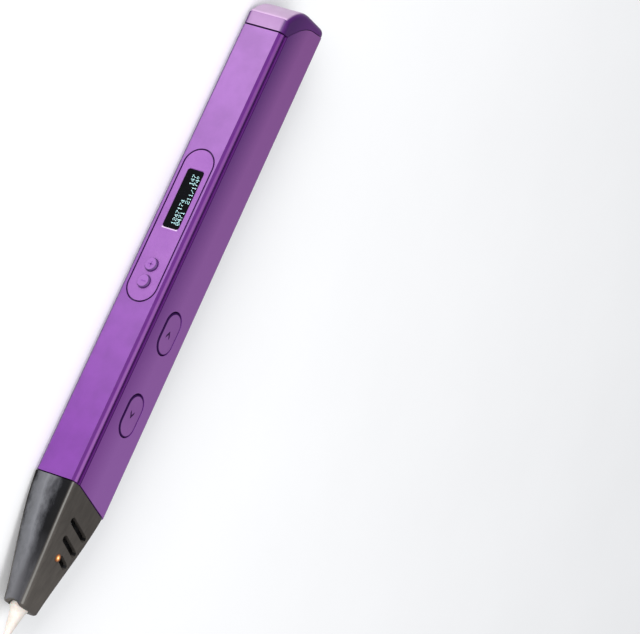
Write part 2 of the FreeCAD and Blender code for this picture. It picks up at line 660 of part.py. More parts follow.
def gear(teeth, start, length, y, z, first_angle):
    """A spur gear along +X with one tooth at first_angle, measured from +Y towards +Z."""
    points = [Vector(value(start), value(y) + r * math.cos(a + first_angle), value(z) + r * math.sin(a + first_angle))
              for r, a in gear_outline(teeth, value("gear_module"), 0.03)]
    return Part.Face(Part.makePolygon(points + points[:1])).extrude(Vector(value(length), 0, 0))


PINION_TEETH, GEAR_TEETH = 14, 10
toward_screw = math.atan2(value("mid_z - motor_z"), value("screw_y - motor_y"))
pinion = gear(PINION_TEETH, "23.7", "3.3", "motor_y", "motor_z", toward_screw)
motor_shaft = Part.makeCylinder(value("shaft_radius"), 6.5, Vector(22.02, value("motor_y"), value("motor_z")),
                                Vector(1, 0, 0))
shaped("motor_shaft", motor_shaft)
shaped("motor_pinion", pinion.cut(motor_shaft))

# Feed screw: a threaded rod with plain journals; the thread bites the filament beside it
screw_gear = gear(GEAR_TEETH, "23.7", "3.3", "screw_y", "mid_z", toward_screw + math.pi + math.pi / GEAR_TEETH)
screw_axis = Vector(0, value("screw_y"), value("mid_z"))
journal = Part.makeCylinder(value("shaft_radius"), 22.6, screw_axis + Vector(22.1, 0, 0), Vector(1, 0, 0))
shaped("screw_gear", screw_gear.cut(journal))
core_radius, thread_start, thread_end = value("screw_radius") - 0.55, 29.1, 42.8
pitch, outer = value("screw_pitch"), value("screw_radius")
profile = [(core_radius, 0.0), (outer, 0.3), (outer, 0.5), (core_radius, 0.8)]
rings = [Part.makeCylinder(core_radius, thread_end - thread_start, Vector(), Vector(0, 0, 1))]
helix = Part.makeHelix(pitch, thread_end - thread_start - 1.3, core_radius)
section = Part.makePolygon([Vector(r - (0.1 if r == core_radius else 0), 0, h) for r, h in profile + profile[:1]])
pipe = Part.BRepOffsetAPI.MakePipeShell(helix)
pipe.setFrenetMode(True)
pipe.add(section)
pipe.build()
pipe.makeSolid()
thread = rings[0].fuse(pipe.shape())
thread.rotate(Vector(), Vector(0, 1, 0), 90)
thread.translate(screw_axis + Vector(thread_start, 0, 0))
shaped("feed_screw", thread.fuse(journal))

# Backing roller on its pin, behind the filament
roller = cut("backing_roller",
             rod("roller_disc", "z", ("idler_x", "idler_y", "mid_z - 1.6"), "3.2", "idler_radius"),
             rod("roller_bore", "z", ("idler_x", "idler_y", "mid_z - 2"), "4", "shaft_radius + 0.04"))
rod("roller_pin", "z", ("idler_x", "idler_y", "wall + 0.1"), "8.3", "shaft_radius")

# ---------------------------------------------------------------- filament tubes and hot end


def tube(name, start, end, outer_radius, inner_radius):
    return cut(name, rod(name + "_outside", "x", (start, "path_y", "mid_z"), f"({end}) - ({start})", outer_radius),
               rod(name + "_inside", "x", (f"({start}) - 1", "path_y", "mid_z"), f"({end}) - ({start}) + 2",
                   inner_radius))


tube("rear_tube", "tail_x + 2.6", f"{FRAME_MID} + 1.4", "tube_radius", "tube_bore")
tube("front_tube", FRAME_END, "58", "tube_radius", "tube_bore")
tube("melt_barrel", "58", "83", "tube_radius", "tube_bore")
tube("heater_coil", "65", "78", "tube_radius + 0.45", "tube_radius")
tube("heater_sleeve", "64", "79", "tube_radius + 0.75", "tube_radius + 0.45")

# Bracket that carries the barrel ahead of the frame: a collar on a thin rail
fuse("bracket_blocks",
     box("bracket_rail", (f"{FRAME_END} + 1.6", "path_y - 2", "wall + 1.5"), ("13.2", "4", "0.8")),
     rod("bracket_disc", "x", ("56.5", "path_y", "mid_z"), "1.5", "3.2"))
cut("hot_end_bracket", doc.getObject("bracket_blocks"),
    rod("bracket_bore", "x", ("50", "path_y", "mid_z"), "10", "tube_radius"))

# Ceramic nozzle tip: a sleeve over the barrel's end, a wider flange, then a taper down to the outlet
tip_outside = fuse("tip_blocks",
                   rod("tip_sleeve", "x", ("79.2", "path_y", "mid_z"), "cone_end_x - 80.2", "tip_radius"),
                   rod("tip_flange", "x", ("cone_end_x - 1.1", "path_y", "mid_z"), "1", "collar_radius"),
                   rod("tip_shoulder", "x", ("cone_end_x - 0.1", "path_y", "mid_z"), "1.2", "collar_radius", "2.05"),
                   rod("tip_taper", "x", ("cone_end_x + 1.1", "path_y", "mid_z"), "tip_x - cone_end_x - 1.1", "2.05",
                       "0.75"))
cut("ceramic_tip", tip_outside,
    rod("tip_socket", "x", ("79", "path_y", "mid_z"), "4", "tube_radius"),
    rod("tip_outlet", "x", ("82", "path_y", "mid_z"), "9", "0.35"))

# Collar behind the tip's flange
tube("tip_collar", "79.2", "cone_end_x - 1.15", "collar_radius", "tip_radius + 0.03")

# Thermistor: a bead on the heater sleeve
rod("thermistor", "y", ("74", "path_y + tube_radius + 0.75", "mid_z"), "1.2", "0.6")

# Status light: a lens through the button side of the cone, with a flange behind the wall
fuse("status_light",
     rod("light_lens", "z", ("led_x", "led_y", "9.35"), "body_width - 1.35 - 9.35", "led_radius"),
     rod("light_flange", "z", ("led_x", "led_y", "9.35"), "0.6", "led_radius + 0.5"))

# Screws that hold the main board to posts of the cover
posts = [rod(f"post_{i}", "y", (x, depth("plate"), "mid_z"), "tongue_depth - plate", "1.5")
         for i, x in enumerate(BOARD_SCREWS, start=1)]
post_holes = [rod(f"post_hole_{i}", "y", (x, depth("plate + 0.3"), "mid_z"), "4", "0.5")
              for i, x in enumerate(BOARD_SCREWS, start=1)]
cut("front_shell", fuse("shell_with_posts", cover, *posts), *post_holes)
shafts = [rod(f"screw_shaft_{i}", "y", (x, depth("plate + 0.6"), "mid_z"), "tongue_depth - plate + 0.2", "0.5")
          for i, x in enumerate(BOARD_SCREWS, start=1)]
heads = [rod(f"screw_head_{i}", "y", (x, BOARD_BACK, "mid_z"), "0.7", "1.1")
         for i, x in enumerate(BOARD_SCREWS, start=1)]
drives = [box(f"screw_slot_{i}", (f"{x} - 1.2", depth("tongue_depth + 1.2"), "mid_z - 0.15"), ("2.4", "1", "0.3"))
          for i, x in enumerate(BOARD_SCREWS, start=1)]
cut("board_screws", fuse("screw_blocks", *shafts, *heads), *drives)

SUBPARTS = """
    front_shell rear_shell tail_cap nozzle_cone control_panel screen_glass key_up key_down
    feed_button retract_button display_module display_pad display_cable main_board controller_chip driver_chip
    inductor capacitors motor_socket key_switches power_board power_socket power_tongue button_board button_switches
    motor gearbox motor_shaft motor_pinion drive_frame screw_gear feed_screw backing_roller roller_pin
    rear_tube front_tube melt_barrel heater_coil heater_sleeve hot_end_bracket ceramic_tip tip_collar thermistor
    status_light board_screws
""".split()

# ---------------------------------------------------------------- writing the pieces

doc.recompute()
os.makedirs("parts", exist_ok=True)
for piece in doc.Objects:
    assert not {"Invalid", "Error"} & set(piece.State), f"{piece.Label}: {piece.State}"
for name in SUBPARTS:
    piece = doc.getObject(name)
    assert not piece.Shape.isNull() and piece.Shape.isValid(), name
    piece.Shape.exportStep(f"parts/{name}.step")
    print(name, round(piece.Shape.Volume, 1), len(piece.Shape.Solids))
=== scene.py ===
import json
import math

import bmesh
import bpy
from mathutils import Matrix, Vector

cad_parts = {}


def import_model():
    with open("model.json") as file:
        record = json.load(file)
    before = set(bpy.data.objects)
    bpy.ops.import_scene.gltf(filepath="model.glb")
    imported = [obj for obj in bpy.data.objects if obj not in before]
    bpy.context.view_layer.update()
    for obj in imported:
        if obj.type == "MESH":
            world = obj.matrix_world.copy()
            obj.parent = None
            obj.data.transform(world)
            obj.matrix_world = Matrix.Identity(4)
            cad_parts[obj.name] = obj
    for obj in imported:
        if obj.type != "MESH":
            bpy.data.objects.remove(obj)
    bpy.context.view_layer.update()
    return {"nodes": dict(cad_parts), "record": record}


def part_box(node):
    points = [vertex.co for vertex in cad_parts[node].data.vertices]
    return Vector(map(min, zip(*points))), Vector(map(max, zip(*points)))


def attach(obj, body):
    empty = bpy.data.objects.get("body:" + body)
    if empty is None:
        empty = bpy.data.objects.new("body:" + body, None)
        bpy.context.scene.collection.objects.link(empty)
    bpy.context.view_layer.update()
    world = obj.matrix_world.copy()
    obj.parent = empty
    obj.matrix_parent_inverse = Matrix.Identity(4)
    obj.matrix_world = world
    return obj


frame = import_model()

# A slim purple 3D printing pen, lying on its plain side. Metres, in the part's own frame: +X to the nozzle tip,
# -Y out of the display face, +Z out of the side with the two buttons.
MM = 0.001


# ---------------------------------------------------------------- materials

class Shader:
    """A node material around one Principled shader, textured in the object's own coordinates."""

    def __init__(self, name, **settings):
        self.name = name
        self.material = bpy.data.materials.new(name + "_finish")
        self.material.use_nodes = True
        self.nodes = self.material.node_tree.nodes
        self.links = self.material.node_tree.links
        self.main = self.nodes["Principled BSDF"]
        self.where = self.nodes.new("ShaderNodeTexCoord").outputs["Object"]
        for socket, value in settings.items():
            self.main.inputs[socket.replace("_", " ")].default_value = value

    def node(self, kind, inputs=(), **options):
        made = self.nodes.new(kind)
        for option, value in options.items():
            setattr(made, option, value)
        for socket, value in dict(inputs).items():
            self.feed(made.inputs[socket], value)
        return made

    def feed(self, socket, value):
        if isinstance(value, bpy.types.NodeSocket):
            self.links.new(value, socket)
        else:
            socket.default_value = value

    def scaled(self, stretch):
        """The coordinates, stretched along each axis."""
        return self.node("ShaderNodeMapping", {"Vector": self.where, "Scale": stretch}).outputs[0]

    def noise(self, size, detail=3.0, stretch=(1, 1, 1), roughness=0.55):
        """Noise whose blotches are about size metres across."""
        made = self.node("ShaderNodeTexNoise", {"Vector": self.scaled(stretch), "Scale": 1 / size,
                                                "Detail": detail, "Roughness": roughness})
        return made.outputs["Fac"]

    def ramp(self, factor, *stops):
        """Colours or greys at places from 0 to 1."""
        made = self.node("ShaderNodeValToRGB", {"Fac": factor})
        while len(made.color_ramp.elements) < len(stops):
            made.color_ramp.elements.new(0.5)
        for element, (place, colour) in zip(made.color_ramp.elements, stops):
            element.position = place
            element.color = (*colour, 1) if isinstance(colour, tuple) else (colour, colour, colour, 1)
        return made.outputs["Color"]

    def math(self, operation, *values):
        return self.node("ShaderNodeMath", dict(enumerate(values)), operation=operation).outputs[0]

    def mix(self, factor, first, second, blend="MIX"):
        made = self.node("ShaderNodeMix", data_type="RGBA", blend_type=blend)
        self.feed(made.inputs["Factor"], factor)
        for socket, value in ((made.inputs[6], first), (made.inputs[7], second)):
            self.feed(socket, (*value, 1) if isinstance(value, tuple) else value)
        return made.outputs[2]

    def shade_in_recesses(self, colour, painted_shade, reach=1.3 * MM):
        """colour, with painted shade where walls closer than reach would shut out the light."""
        open_sky = self.node("ShaderNodeAmbientOcclusion", {"Distance": reach}, samples=8).outputs["AO"]
        return self.mix(self.ramp(open_sky, (0.25, 0.0), (0.75, 1.0)), painted_shade, colour)

    def facing(self, direction, start, end):
        """How far the face's normal turns toward direction, as 0 below start and 1 above end."""
        normal = self.node("ShaderNodeTexCoord").outputs["Normal"]
        turned = self.node("ShaderNodeVectorMath", {0: normal, 1: Vector(direction).normalized()},
                           operation="DOT_PRODUCT").outputs["Value"]
        return self.ramp(turned, (start, 0.0), (end, 1.0))

    def place(self, axis, low, high, free=False):
        """Where a point lies along an axis, from 0 at low to 1 at high, and beyond where free. Sizes in mm."""
        split = self.node("ShaderNodeSeparateXYZ", {"Vector": self.where}).outputs["XYZ".index(axis)]
        made = self.node("ShaderNodeMapRange", {"Value": split, "From Min": low * MM, "From Max": high * MM},
                         clamp=not free)
        return made.outputs["Result"]

    def colour(self, value):
        self.feed(self.main.inputs["Base Color"], value)

    def rough(self, factor, low, high):
        """Roughness that wanders between low and high."""
        self.feed(self.main.inputs["Roughness"], self.ramp(factor, (0.3, low), (0.7, high)))

    def relief(self, height, depth, edge=0.0):
        """Bump of about depth metres; edge rounds the look of sharp edges by that radius."""
        bump = self.node("ShaderNodeBump", {"Height": height, "Distance": depth, "Strength": 1.0})
        if edge:
            soft = self.node("ShaderNodeBevel", {"Radius": edge}, samples=4)
            self.links.new(soft.outputs[0], bump.inputs["Normal"])
        self.links.new(bump.outputs[0], self.main.inputs["Normal"])


def moulded(name, deep, pale, rough=(0.36, 0.46), grain=0.12, depth=0.004, edge=0.12, recess_shade=None, **settings):
    """Moulded plastic: faint mottling, a fine spark-eroded grain and softened edges. Sizes in mm.

    Where a recess shade is given, seams and recesses take it as painted shade.
    """
    made = Shader(name, **settings)
    made.tone = made.ramp(made.noise(9 * MM, 4), (0.35, deep), (0.65, pale))
    made.colour(made.shade_in_recesses(made.tone, recess_shade) if recess_shade else made.tone)
    made.rough(made.noise(3 * MM, 5), *rough)
    made.relief(made.noise(grain * MM, 2), depth * MM, edge * MM)
    return made


def metal(name, deep, pale, rough=(0.22, 0.38), along=(0.06, 1, 1)):
    """Turned or drawn metal, with fine marks that run along one axis."""
    made = Shader(name, Metallic=1.0)
    marks = made.noise(0.12 * MM, 4, along)
    made.colour(made.ramp(made.noise(2 * MM, 3), (0.3, deep), (0.7, pale)))
    made.rough(marks, *rough)
    made.relief(marks, 0.004 * MM, 0.05 * MM)
    return made


# Painted shade for seams and recesses in the purple parts, and the directions that the body's faces look in
SEAM_SHADE = (0.075, 0.012, 0.140)
FRONT, SIDE, BEVEL = (0, -1, 0), (0, 0, 1), (0, -1, 1)
CAP_SLANT = (-0.8, -1, 0)

# In mm behind the display plane: where the crest and the groove begin and end, each as a short fade
display_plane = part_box("control_panel")[0][1] / MM
CREST_BEGINS, CREST_ENDS = (0.55, 0.80), (1.40, 1.50)
GROOVE_BEGINS, GROOVE_ENDS = (1.42, 1.50), (3.28, 3.36)


def body_plastic(name, base, lit_front, deep, pale, crest_highlight, front_mask, span, **settings):
    """The purple of the body. Each tone is a pair: its colour at the two places that span gives along X, in mm.

    The faces in front_mask take the front tone with its painted highlight, and the sides go from deep to pale,
    front to back, as painted shade. Where a crest tone is given, the bevel takes painted shade with that crest
    as a painted highlight, and the groove below it painted shade.
    """
    made = moulded(name, *base, rough=(0.32, 0.42), **settings)
    tailward = made.place("X", *span)

    def toned(pair):
        return made.mix(tailward, *pair)

    def after(fade):
        return made.place("Y", display_plane + fade[0], display_plane + fade[1])

    def before(fade):
        return made.place("Y", display_plane + fade[1], display_plane + fade[0])

    def overlap(*masks):
        factor = masks[0]
        for mask in masks[1:]:
            factor = made.math("MULTIPLY", factor, mask)
        return factor

    clouds = made.ramp(made.noise(7 * MM, 3), (0.35, 0.90), (0.65, 1.06))
    # Front faces take the front tone with its painted highlight, mottled by the clouds
    tone = made.mix(front_mask(made), made.tone, made.mix(1.0, toned(lit_front), clouds, "MULTIPLY"))
    # Sides take painted shade, deep near the display and paler toward the back
    side = made.mix(made.ramp(after((3, 20)), (0.03, 0.0), (0.50, 1.0)), toned(deep), toned(pale))
    tone = made.mix(made.facing(SIDE, 0.75, 0.95), tone, side)
    if crest_highlight:
        tilted = made.facing(BEVEL, 0.93, 0.99)
        # The bevel takes a painted shade, with a painted highlight on the crest along its lower edge
        tone = made.mix(overlap(tilted, before(CREST_BEGINS)), tone, (0.076, 0.002, 0.131))
        tone = made.mix(overlap(tilted, after(CREST_BEGINS), before(CREST_ENDS)), tone, toned(crest_highlight))
        # Painted shade in the groove, darkest on its slanted wall
        in_groove = overlap(after(GROOVE_BEGINS), before(GROOVE_ENDS))
        groove_shade = made.mix(tilted, (0.108, 0.018, 0.172), (0.036, 0.003, 0.062))
        made.colour(made.mix(in_groove, made.shade_in_recesses(tone, SEAM_SHADE), groove_shade))
        gloss = made.main.inputs["Specular IOR Level"]
        made.feed(gloss, made.ramp(in_groove, (0.0, gloss.default_value), (1.0, 0.08)))
    else:
        made.colour(made.shade_in_recesses(tone, SEAM_SHADE))
    return made


def flat_front(made):
    return made.facing(FRONT, 0.80, 0.97)


def slanted_front(made):
    return made.facing(CAP_SLANT, 0.70, 0.88)


purple = body_plastic(
    "purple_plastic",
    base=((0.140, 0.024, 0.235), (0.158, 0.030, 0.255)),
    lit_front=((0.150, 0.027, 0.245), (0.272, 0.122, 0.350)),
    deep=((0.130, 0.026, 0.190), (0.055, 0.002, 0.100)),
    pale=((0.185, 0.060, 0.255), (0.165, 0.045, 0.200)),
    crest_highlight=((0.175, 0.052, 0.225), (0.112, 0.020, 0.150)),
    front_mask=flat_front, span=(38, -85),
    Specular_IOR_Level=0.4, Coat_Weight=0.10, Coat_Roughness=0.25)
# The tail cap: a copy of the body's purple with painted shade over all of it and a pale painted highlight on its
# slanted face
cap_purple_painted_light = body_plastic(
    "cap_plastic_painted_light",
    base=((0.055, 0.006, 0.095), (0.065, 0.009, 0.110)),
    lit_front=((0.64, 0.41, 0.67), (0.38, 0.26, 0.395)),
    deep=((0.040, 0.003, 0.075),) * 2,
    pale=((0.070, 0.010, 0.112),) * 2,
    crest_highlight=None, front_mask=slanted_front, span=(-84.3, -85.3),
    Specular_IOR_Level=0.25)


def rim_shade(made, node, across, flange, shift):
    """A painted shadow along the rim of a stadium-shaped or round button, widest opposite to shift.

    Its face lies in X and across, and flange is how far its hidden rim stands out around it. Sizes in mm.
    """
    low, high = (Vector(c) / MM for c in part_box(node))
    centre, half = (low + high) / 2, (high - low) / 2
    index = "XYZ".index(across)
    radius = half[index] - flange
    straight = half.x - flange - radius
    along = made.place("X", centre.x + shift[0], centre.x + shift[0] + 1, free=True)
    over = made.place(across, centre[index] + shift[1], centre[index] + shift[1] + 1, free=True)
    past_end = made.math("MAXIMUM", made.math("SUBTRACT", made.math("ABSOLUTE", along), straight), 0)
    squares = made.math("ADD", made.math("MULTIPLY", past_end, past_end), made.math("MULTIPLY", over, over))
    return made.ramp(made.math("DIVIDE", made.math("SQRT", squares), radius), (0.86, 0.0), (0.91, 1.0))


def button_plastic(node):
    made = moulded(node, (0.165, 0.048, 0.222), (0.185, 0.057, 0.245))
    # Painted shadow along the rim on the display's side, where the button sinks below the shell, and painted
    # shade in its recesses
    shade = rim_shade(made, node, "Y", flange=0.5, shift=(0, 0.38))
    made.colour(made.shade_in_recesses(made.mix(shade, made.tone, (0.020, 0.001, 0.045)), (0.030, 0.003, 0.060)))
    made.feed(made.main.inputs["Specular IOR Level"], made.ramp(shade, (0.0, 0.5), (1.0, 0.05)))
    return made


def key_plastic(node):
    made = moulded(node, (0.215, 0.070, 0.300), (0.240, 0.085, 0.330), rough=(0.38, 0.46))
    # Painted shade on the key's side walls and a painted shadow along its rim, with painted shade in its
    # recesses
    wall_shade = made.math("SUBTRACT", 1.0, made.facing(FRONT, 0.60, 0.95))
    rim_shadow = rim_shade(made, node, "Z", flange=0.4, shift=(-0.12, -0.24))
    shade = made.math("MAXIMUM", rim_shadow, wall_shade)
    made.colour(made.shade_in_recesses(made.mix(shade, made.tone, (0.060, 0.010, 0.105)), SEAM_SHADE))
    return made


own_finish = {"tail_cap": cap_purple_painted_light}
own_finish.update((node, button_plastic(node)) for node in ("feed_button", "retract_button"))
own_finish.update((node, key_plastic(node)) for node in ("key_up", "key_down"))

panel_purple = moulded("panel_plastic", (0.215, 0.070, 0.300), (0.245, 0.086, 0.330), rough=(0.4, 0.5),
                       grain=0.35, depth=0.030, recess_shade=SEAM_SHADE)
# A painted highlight on the edge of the window at the nozzle's end, where it would catch the light, over painted
# shade in the panel's recesses
window_low, window_high = (Vector(c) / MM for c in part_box("screen_glass"))
rim_end = panel_purple.math("MULTIPLY", panel_purple.place("X", window_high.x - 0.10, window_high.x + 0.05),
                            panel_purple.place("X", window_high.x + 0.48, window_high.x + 0.30))
rim_sides = panel_purple.math("MULTIPLY", panel_purple.place("Z", window_low.z - 0.1, window_low.z + 0.3),
                              panel_purple.place("Z", window_high.z + 0.1, window_high.z - 0.3))
window_rim_highlight = panel_purple.math("MULTIPLY", rim_end, rim_sides)
panel_purple.colour(panel_purple.mix(window_rim_highlight, panel_purple.shade_in_recesses(panel_purple.tone, SEAM_SHADE),
                                     (0.62, 0.48, 0.66)))
mark_purple = moulded("mark_ink", (0.022, 0.003, 0.040), (0.032, 0.005, 0.055), Specular_IOR_Level=0.1)
symbol_purple = moulded("symbol_ink", (0.16, 0.035, 0.25), (0.19, 0.045, 0.29))

# The nozzle cone, in mm: its two ends along X, the pen's half thickness, and how much thinner the cone gets
CONE_X, MID_Z, CONE_TAPER = (51.5, 81.9), 6.4, 3.05
CONE_FRONT, CONE_RIDGE = (0.25, -1, 0), (0.2, -1, 1)

black = Shader("black_plastic")
streaks = black.noise(1.6 * MM, 6, (0.25, 1, 1), 0.65)
scuffs = black.noise(3.5 * MM, 6, (0.45, 1, 1), 0.7)
toward_body = black.ramp(streaks, (0.3, (0.042, 0.037, 0.033)), (0.75, (0.064, 0.057, 0.051)))
toward_tip = black.ramp(streaks, (0.3, (0.062, 0.055, 0.050)), (0.75, (0.092, 0.083, 0.074)))
plain = black.mix(black.ramp(black.place("X", 55, 80), (0.0, 0.0), (1.0, 1.0)), toward_body, toward_tip)
# The cone's display side takes a painted highlight in a band off its middle, broken up by scuffs, and painted
# shade at its edges
half_width = black.math("SUBTRACT", MID_Z, black.math("MULTIPLY", black.place("X", *CONE_X), CONE_TAPER))
sideways = black.math("DIVIDE", black.place("Z", MID_Z, MID_Z + 1, free=True), half_width)
sheen_and_gloss = black.math("ADD", black.math("MULTIPLY_ADD", sideways, 0.5, 0.20), black.math("MULTIPLY", scuffs, 0.50))
sheen = black.ramp(sheen_and_gloss, (0.0, (0.006, 0.006, 0.007)), (0.12, (0.075, 0.076, 0.083)),
                   (0.36, (0.140, 0.142, 0.155)), (0.54, (0.050, 0.050, 0.056)),
                   (0.68, (0.006, 0.006, 0.007)), (0.95, (0.008, 0.008, 0.008)))
# Toward the nozzle the painted dark edge gives way to an even grey, the painted highlight spread across the face
even_sheen = black.ramp(scuffs, (0.35, (0.050, 0.049, 0.054)), (0.65, (0.098, 0.096, 0.104)))
sheen = black.mix(black.ramp(black.place("X", 62, 80), (0.0, 0.0), (1.0, 0.75)), sheen, even_sheen)
cone_tone = black.mix(black.facing(CONE_FRONT, 0.80, 0.95), plain, sheen)
# A painted highlight along the ridge, and painted shade in recesses
cone_tone = black.mix(black.facing(CONE_RIDGE, 0.975, 0.998), cone_tone, (0.165, 0.160, 0.150))
black.colour(black.shade_in_recesses(cone_tone, (0.006, 0.006, 0.006)))
black.feed(black.main.inputs["Specular IOR Level"],
           black.ramp(sheen_and_gloss, (0.0, 0.04), (0.12, 0.36), (0.42, 0.36), (0.66, 0.06)))
black.rough(streaks, 0.34, 0.52)
grain_and_streaks = black.math("ADD", black.noise(0.15 * MM, 3), black.math("MULTIPLY", streaks, 0.7))
black.relief(grain_and_streaks, 0.008 * MM, 0.2 * MM)

ceramic = Shader("ceramic", Subsurface_Weight=0.15, Subsurface_Scale=0.002)
ceramic.colour(ceramic.ramp(ceramic.noise(1.2 * MM, 5), (0.3, (0.58, 0.52, 0.47)), (0.7, (0.67, 0.62, 0.57))))
ceramic.rough(ceramic.noise(0.4 * MM, 4), 0.45, 0.65)
ceramic.relief(ceramic.noise(0.1 * MM, 4), 0.006 * MM, 0.15 * MM)

glass = Shader("screen_glass", Specular_IOR_Level=0.06)
glass.colour(glass.ramp(glass.noise(5 * MM, 3), (0.3, (0.0008, 0.001, 0.0014)), (0.7, (0.0018, 0.002, 0.003))))
glass.rough(glass.noise(1.5 * MM, 4), 0.15, 0.25)
glass.relief(glass.noise(0.6 * MM, 2), 0.0008 * MM, 0.06 * MM)

lit = Shader("lit_pixels")
cells = lit.ramp(lit.noise(0.5 * MM, 1), (0.3, (0.30, 0.62, 0.66)), (0.7, (0.62, 0.92, 0.92)))
lit.colour(cells)
lit.feed(lit.main.inputs["Emission Color"], cells)
lit.main.inputs["Emission Strength"].default_value = 0.55

# The status light glows brightest at its middle
GLOW_RADIUS = 0.85 * MM
amber = Shader("amber_light", Roughness=0.25)
led_low, led_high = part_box("status_light")
led_centre = [(a + b) / 2 for a, b in zip(led_low, led_high)]
offset = amber.node("ShaderNodeVectorMath", {0: amber.where, 1: (led_centre[0], led_centre[1], 0)},
                    operation="SUBTRACT").outputs[0]
flat = amber.node("ShaderNodeVectorMath", {0: offset, 1: (1, 1, 0)}, operation="MULTIPLY").outputs[0]
away = amber.node("ShaderNodeVectorMath", {0: flat}, operation="LENGTH").outputs["Value"]
glow = amber.ramp(amber.math("DIVIDE", away, GLOW_RADIUS), (0.12, (1.0, 0.76, 0.42)),
                  (0.42, (0.66, 0.26, 0.05)), (0.95, (0.11, 0.036, 0.012)))
amber.colour(glow)
amber.feed(amber.main.inputs["Emission Color"], glow)
amber.main.inputs["Emission Strength"].default_value = 0.8

steel = metal("steel", (0.42, 0.42, 0.44), (0.62, 0.62, 0.64))
brass = metal("brass", (0.50, 0.34, 0.12), (0.68, 0.50, 0.20))
aluminium = metal("aluminium", (0.62, 0.63, 0.65), (0.78, 0.79, 0.80), rough=(0.3, 0.45))

board = Shader("circuit_board", Roughness=0.35)
lanes = board.node("ShaderNodeTexBrick", {"Vector": board.scaled((1, 1, 1)), "Scale": 240.0, "Mortar Size": 0.06,
                                          "Color1": (0.010, 0.085, 0.035, 1), "Color2": (0.014, 0.10, 0.042, 1),
                                          "Mortar": (0.03, 0.19, 0.08, 1)})
pads = board.node("ShaderNodeTexVoronoi", {"Vector": board.where, "Scale": 420.0})
spots = board.ramp(pads.outputs["Distance"], (0.16, 1.0), (0.2, 0.0))
board.colour(board.mix(spots, lanes.outputs["Color"], (0.55, 0.42, 0.2)))
board.relief(lanes.outputs["Fac"], 0.03 * MM)

foam = Shader("foam", Roughness=0.95)
pores = foam.node("ShaderNodeTexVoronoi", {"Vector": foam.where, "Scale": 3500.0}).outputs["Distance"]
foam.colour(foam.ramp(pores, (0.0, (0.012, 0.012, 0.012)), (0.6, (0.06, 0.06, 0.06))))
foam.relief(pores, 0.05 * MM)

film = Shader("flat_cable", Roughness=0.3)
tracks = film.node("ShaderNodeTexWave", {"Vector": film.where, "Scale": 500.0, "Distortion": 0.0},
                   bands_direction="Z").outputs["Color"]
film.colour(film.mix(tracks, (0.45, 0.20, 0.03), (0.62, 0.36, 0.10)))
film.relief(tracks, 0.02 * MM)

sleeve = Shader("insulation", Roughness=0.85, Sheen_Weight=0.3)
weave = sleeve.node("ShaderNodeTexWave", {"Vector": sleeve.where, "Scale": 420.0, "Distortion": 1.5},
                    bands_direction="DIAGONAL").outputs["Color"]
sleeve.colour(sleeve.mix(weave, (0.50, 0.45, 0.36), (0.80, 0.76, 0.66)))
sleeve.relief(weave, 0.06 * MM)

chip = moulded("chip", (0.012, 0.012, 0.013), (0.028, 0.028, 0.03), rough=(0.5, 0.65), edge=0.05)
oled = moulded("display", (0.006, 0.006, 0.008), (0.014, 0.014, 0.02), rough=(0.1, 0.2), edge=0.05)
white = moulded("white_plastic", (0.70, 0.68, 0.62), (0.80, 0.78, 0.72), edge=0.05)
frame_grey = moulded("frame_plastic", (0.035, 0.036, 0.04), (0.06, 0.06, 0.066), edge=0.08)
waxy = moulded("tube_plastic", (0.70, 0.70, 0.68), (0.82, 0.82, 0.80), rough=(0.3, 0.4), edge=0.05,
               Subsurface_Weight=0.2, Subsurface_Scale=0.002)

FINISH = {made.name: made for made in (
    purple, panel_purple, black, ceramic, glass, amber, steel, brass, aluminium, board, foam, film,
    sleeve, chip, oled, white, frame_grey, waxy)}
for entry in frame["record"]["subparts"]:
    node = frame["nodes"][entry["node"]]
    finish = (own_finish.get(entry["node"]) or FINISH[entry["material_slot"]]).material
    if not node.material_slots:
        node.data.materials.append(finish)
    for slot in node.material_slots:
        slot.material = finish


# ---------------------------------------------------------------- small visual pieces

def piece(name, mesh, shader, body):
    mesh.normal_update()
    data = bpy.data.meshes.new(name)
    mesh.to_mesh(data)
    mesh.free()
    data.materials.append(shader.material)
    made = bpy.data.objects.new(name, data)
    bpy.context.scene.collection.objects.link(made)
    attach(made, body)
    return made


def prism(mesh, corners, normal, height):
    """A closed prism: corners lie on its base, in order, and it rises along normal."""
    low = [mesh.verts.new(c) for c in corners]
    high = [mesh.verts.new(Vector(c) + Vector(normal) * height) for c in corners]
    mesh.faces.new(reversed(low))
    mesh.faces.new(high)
    count = len(corners)
    for i in range(count):
        j = (i + 1) % count
        mesh.faces.new((low[i], low[j], high[j], high[i]))


# Lit figures on the display, each on a grid of 5 by 7 dots
DOTS = {
    "0": "01110 10001 10011 10101 11001 10001 01110", "1": "00100 01100 00100 00100 00100 00100 01110",
    "2": "01110 10001 00001 00110 01000 10000 11111", "4": "00010 00110 01010 10010 11111 00010 00010",
    "7": "11111 00001 00010 00100 01000 01000 01000", "/": "00001 00001 00010 00100 01000 10000 10000",
    "o": "01100 10010 10010 01100 00000 00000 00000", " ": "00000 00000 00000 00000 00000 00000 00000",
}
ROWS = ("1247174    147", "0471  211/174o")
DOT, PITCH, DOTS_PER_FIGURE, ROW_PITCH = 0.120 * MM, 0.172 * MM, 6, 1.42 * MM
END_MARGIN, SIDE_MARGIN = 1.15 * MM, 2.15 * MM
